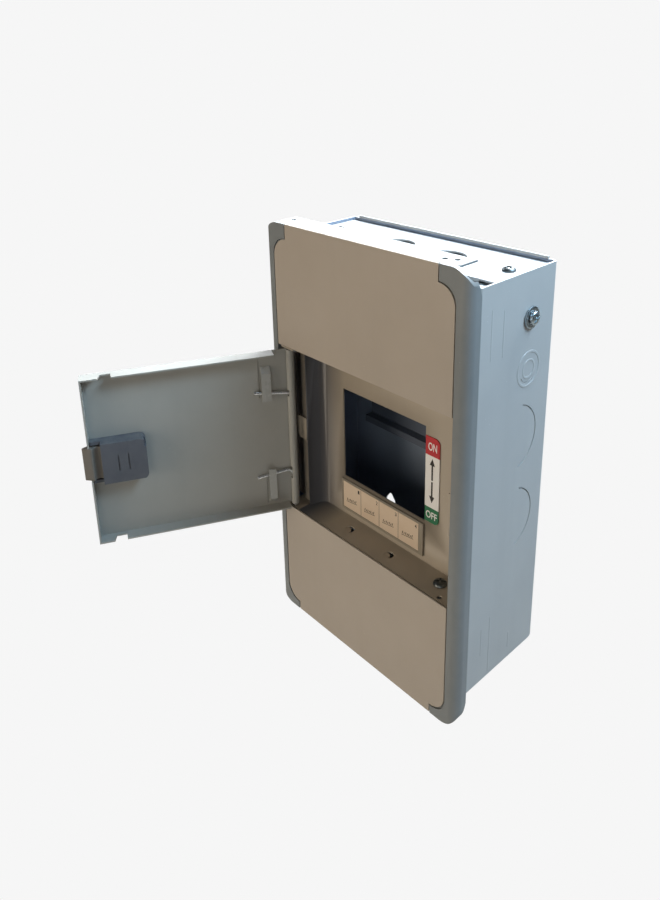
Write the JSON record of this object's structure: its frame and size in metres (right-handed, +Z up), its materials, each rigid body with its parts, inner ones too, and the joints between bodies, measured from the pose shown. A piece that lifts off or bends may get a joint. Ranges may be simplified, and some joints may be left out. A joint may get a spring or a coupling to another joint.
{
  "type": "distribution board",
  "caption": "Wall-mounted sheet-steel breaker box with conduit knockouts, a recessed breaker window, a DIN rail inside and a hinged door with a sliding latch.",
  "frame": {"origin": "on the back panel's rear face, midway between the sides and at half the cover's height", "axes": "+Y into the wall, so the front faces -Y; +X to the viewer's right; +Z up"},
  "size_m": [0.215, 0.2016, 0.2912],
  "materials": {
    "box_grey": "satin powder coat",
    "rail_grey": "satin powder coat",
    "beige": "satin powder coat",
    "pan_paint": "satin powder coat",
    "door_paint": "satin powder coat",
    "zinc": "zinc plated",
    "wire_steel": "bright",
    "brass": "machined",
    "dark_plastic": "moulded",
    "holder_plastic": "moulded",
    "insulator": "moulded",
    "paper": "printed card",
    "marker": "printed card"
  },
  "bodies": {
    "enclosure": {"back_box": "box_grey", "bottom_gland_plate": "box_grey", "cover_frame": "rail_grey", "din_rail": "zinc", "earth_bar": "brass", "side_earth_lock_washer": "zinc", "side_earth_nut": "zinc", "side_earth_screw": "wire_steel", "earth_screw_1": "zinc", "earth_screw_2": "zinc", "earth_screw_3": "zinc", "earth_screw_4": "zinc", "earth_screw_5": "zinc", "earth_screw_6": "zinc", "earth_screw_7": "zinc", "earth_support_left": "zinc", "earth_support_right": "zinc", "side_earth_washer": "zinc", "escutcheon_pan": "pan_paint", "escutcheon_screw_lower": "zinc", "escutcheon_screw_upper": "zinc", "gland_screw_bottom_left": "zinc", "gland_screw_bottom_right": "zinc", "gland_screw_top_left": "zinc", "gland_screw_top_right": "zinc", "label_holder": "holder_plastic", "label_strip": "paper", "lower_fascia": "beige", "neutral_bar": "brass", "neutral_screw_1": "zinc", "neutral_screw_2": "zinc", "neutral_screw_3": "zinc", "neutral_screw_4": "zinc", "neutral_screw_5": "zinc", "neutral_screw_6": "zinc", "neutral_screw_7": "zinc", "neutral_support_left": "insulator", "neutral_support_right": "insulator", "on_off_marker": "marker", "rail_screw_left": "wire_steel", "rail_screw_right": "wire_steel", "rail_spacer_left": "zinc", "rail_spacer_right": "zinc", "top_gland_plate": "box_grey", "upper_fascia": "beige"},
    "door": {"door_panel": "door_paint", "hinge_wire_upper": "wire_steel", "hinge_wire_lower": "wire_steel", "latch_housing": "dark_plastic"},
    "latch": {"latch_slider": "dark_plastic"}
  },
  "joints": [
    {"name": "door_hinge", "type": "hinge", "parent": "enclosure", "child": "door", "pos_m": [-0.0667, -0.0763, 0], "axis": [0, 0, 1], "range_deg": [-6, 116]},
    {"name": "latch_slide", "type": "slide", "parent": "door", "child": "latch", "axis": [0.4384, 0.8988, 0], "range_m": [0, 0.004], "stiffness_N_per_m": 200, "springref_m": -0.002}
  ]
}
